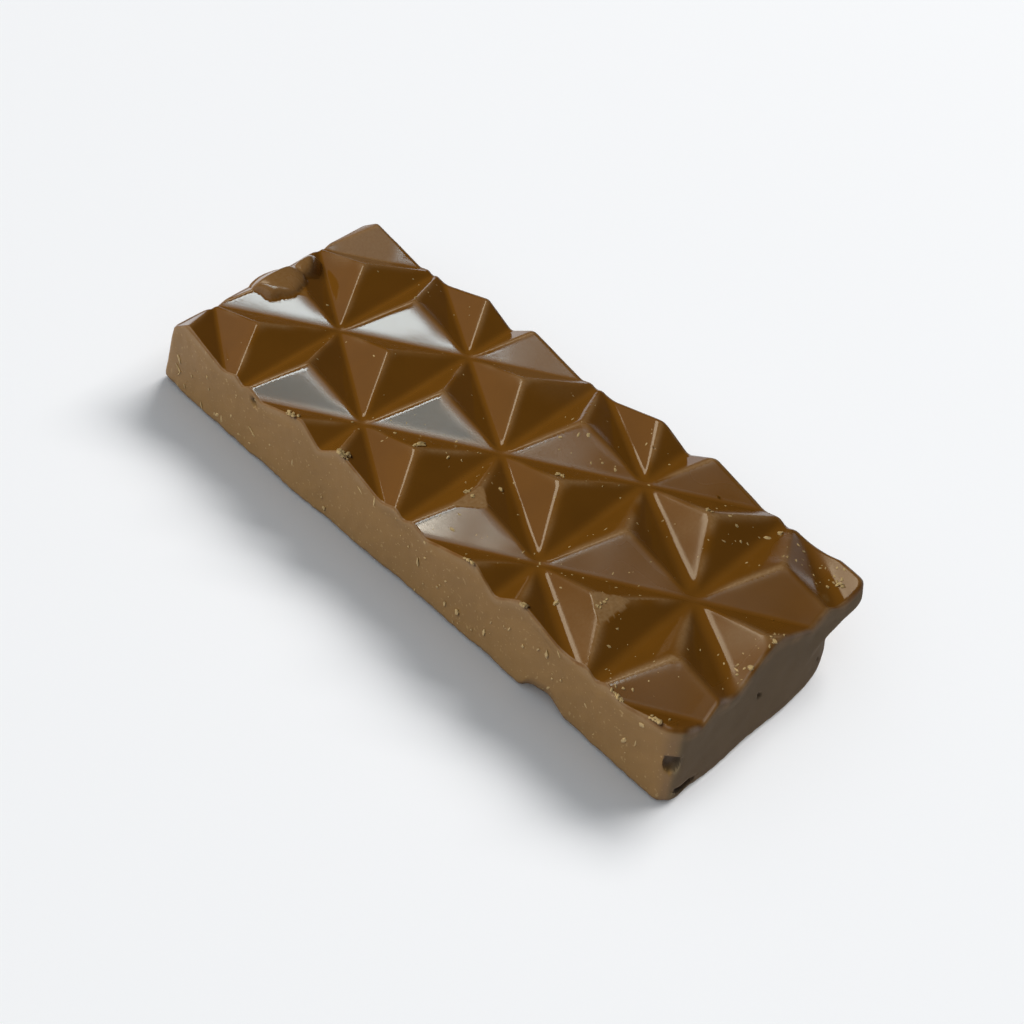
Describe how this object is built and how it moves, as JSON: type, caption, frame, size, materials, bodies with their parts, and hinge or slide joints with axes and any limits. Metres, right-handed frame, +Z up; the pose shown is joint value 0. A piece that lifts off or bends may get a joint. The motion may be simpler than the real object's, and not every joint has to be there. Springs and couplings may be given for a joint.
{
  "type": "chocolate bar",
  "caption": "Snack-size milk chocolate bar: a flat-based block with leaning side walls and a glossy top moulded as a lattice of three-sided pyramids.",
  "frame": {"origin": "middle of the flat base, which the bar lies on", "axes": "+X along the bar to the end that cuts through the pyramids, +Y across it to the back, +Z up through the relief"},
  "size_m": [0.1026, 0.0386, 0.0141],
  "materials": {
    "milk_chocolate": "glossy moulded top, satin side walls"
  },
  "bodies": {
    "root": {"chocolate_bar": "milk_chocolate"}
  },
  "joints": []
}
